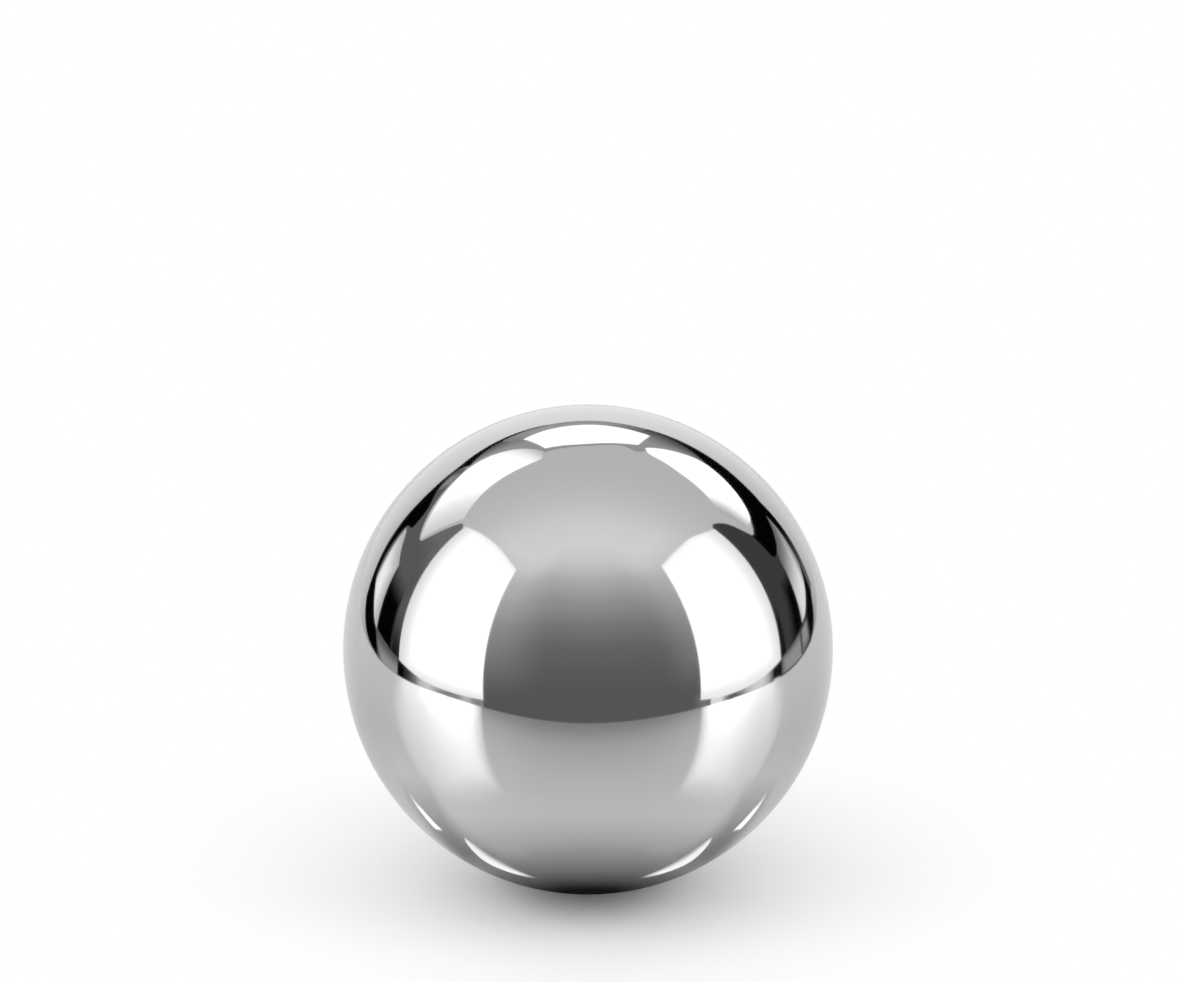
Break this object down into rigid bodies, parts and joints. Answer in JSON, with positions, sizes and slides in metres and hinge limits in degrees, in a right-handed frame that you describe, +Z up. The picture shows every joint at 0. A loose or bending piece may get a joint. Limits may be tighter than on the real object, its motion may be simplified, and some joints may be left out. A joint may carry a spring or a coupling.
{
  "type": "steel ball",
  "caption": "Solid polished steel ball with a mirror finish, ground round all over, for a bearing, seat, weight or rolling toy.",
  "frame": {"origin": "centre of the ball", "axes": "+Z up, away from the seat under the ball; the ball is the same along X, Y and Z"},
  "size_m": [0.0254, 0.0254, 0.0254],
  "materials": {
    "polished_steel": "polished"
  },
  "bodies": {
    "root": {"ball": "polished_steel"}
  },
  "joints": []
}
